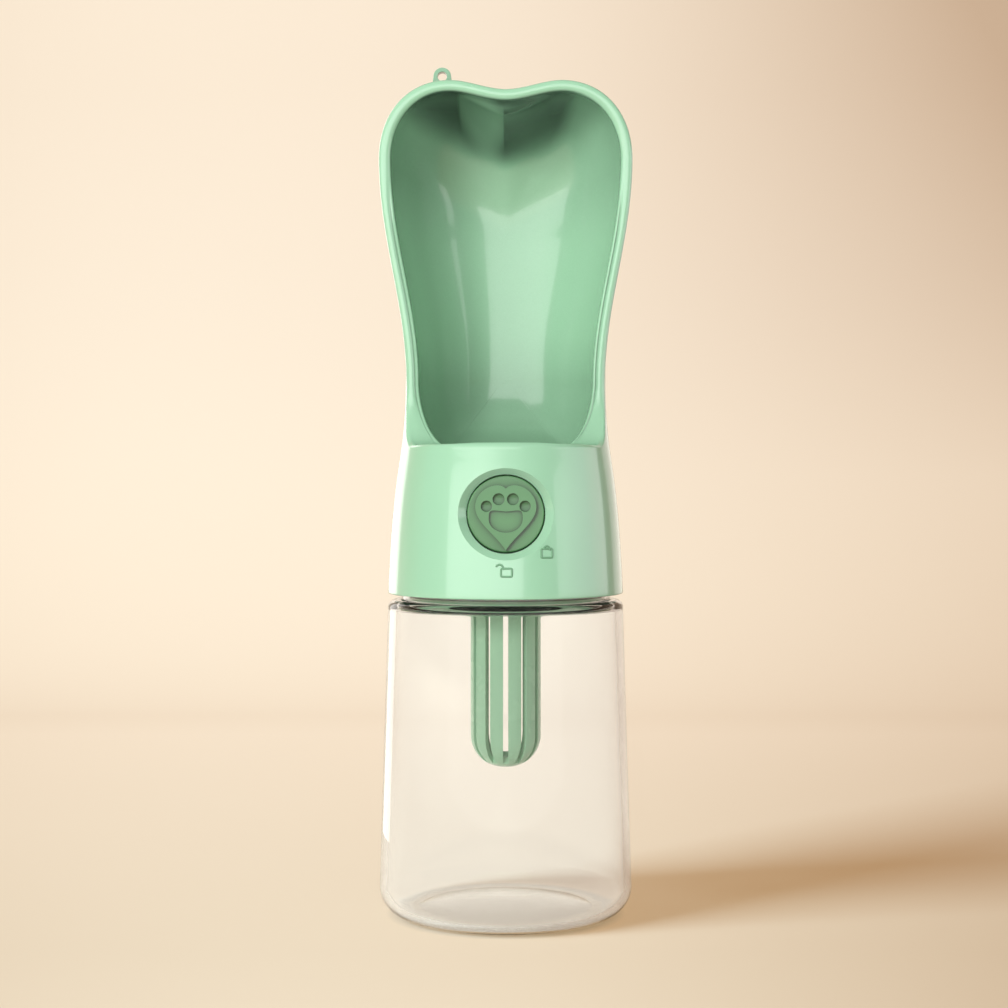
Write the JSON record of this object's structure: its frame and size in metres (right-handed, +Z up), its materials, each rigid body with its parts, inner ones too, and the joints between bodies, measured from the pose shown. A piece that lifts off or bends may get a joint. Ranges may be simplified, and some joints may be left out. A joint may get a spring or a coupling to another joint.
{
  "type": "dog travel water bottle",
  "caption": "Clear travel water bottle with a screw-on mint head: heart-shaped drinking trough, press valve with a turning lock, and a slotted strainer.",
  "frame": {"origin": "centre of the bottle's foot ring, on the surface it stands on", "axes": "+Z up along the bottle's axis, -Y towards the trough's mouth and the button, +X to the right seen from the front"},
  "size_m": [0.0756, 0.0756, 0.2533],
  "materials": {
    "clear_plastic": "clear, glossy",
    "mint_plastic": "satin gloss, opaque",
    "sage_plastic": "satin",
    "silicone": "soft, translucent",
    "white_plastic": "satin",
    "steel": "drawn wire and pin, bright"
  },
  "bodies": {
    "bottle": {"bottle": "clear_plastic"},
    "seal": {"neck_seal": "silicone"},
    "head": {"head_shell": "mint_plastic", "strap_loop": "mint_plastic", "base_plug": "mint_plastic", "valve_chamber": "white_plastic", "intake_seal": "silicone", "outlet_grommet": "silicone", "rear_cap": "white_plastic", "rear_cap_o_ring": "silicone", "thrust_ring": "white_plastic", "stem_bush": "white_plastic", "stem_o_rings": "silicone", "spring_washer": "steel", "return_spring": "steel"},
    "strainer": {"filter_cage": "mint_plastic"},
    "lock": {"lock_sleeve": "sage_plastic"},
    "button": {"button_cap": "sage_plastic", "valve_stem": "steel", "poppet": "white_plastic", "poppet_seal": "silicone", "stem_clip": "steel"}
  },
  "joints": [
    {"name": "seal_lift", "type": "slide", "parent": "bottle", "child": "seal", "axis": [0, 0, 1], "range_m": [0, 0.005]},
    {"name": "head_turn", "type": "hinge", "parent": "seal", "child": "head", "pos_m": [0, 0, 0], "axis": [0, 0, 1], "range_deg": [0, 450]},
    {"name": "lock_turn", "type": "hinge", "parent": "head", "child": "lock", "pos_m": [0, -0.025, 0.1202], "axis": [0, -1, 0], "range_deg": [0, 45]},
    {"name": "button_press", "type": "slide", "parent": "lock", "child": "button", "axis": [0, 1, 0], "range_m": [0, 0.004], "stiffness_N_per_m": 300, "springref_m": -0.005, "deforming": ["return_spring"]},
    {"name": "strainer_pull", "type": "slide", "parent": "head", "child": "strainer", "axis": [0, 0, -1], "range_m": [0, 0.012]}
  ],
  "couplings": [
    {"joint": "seal_lift", "follows": "head_turn", "m_per_rad": 0.0006366}
  ]
}
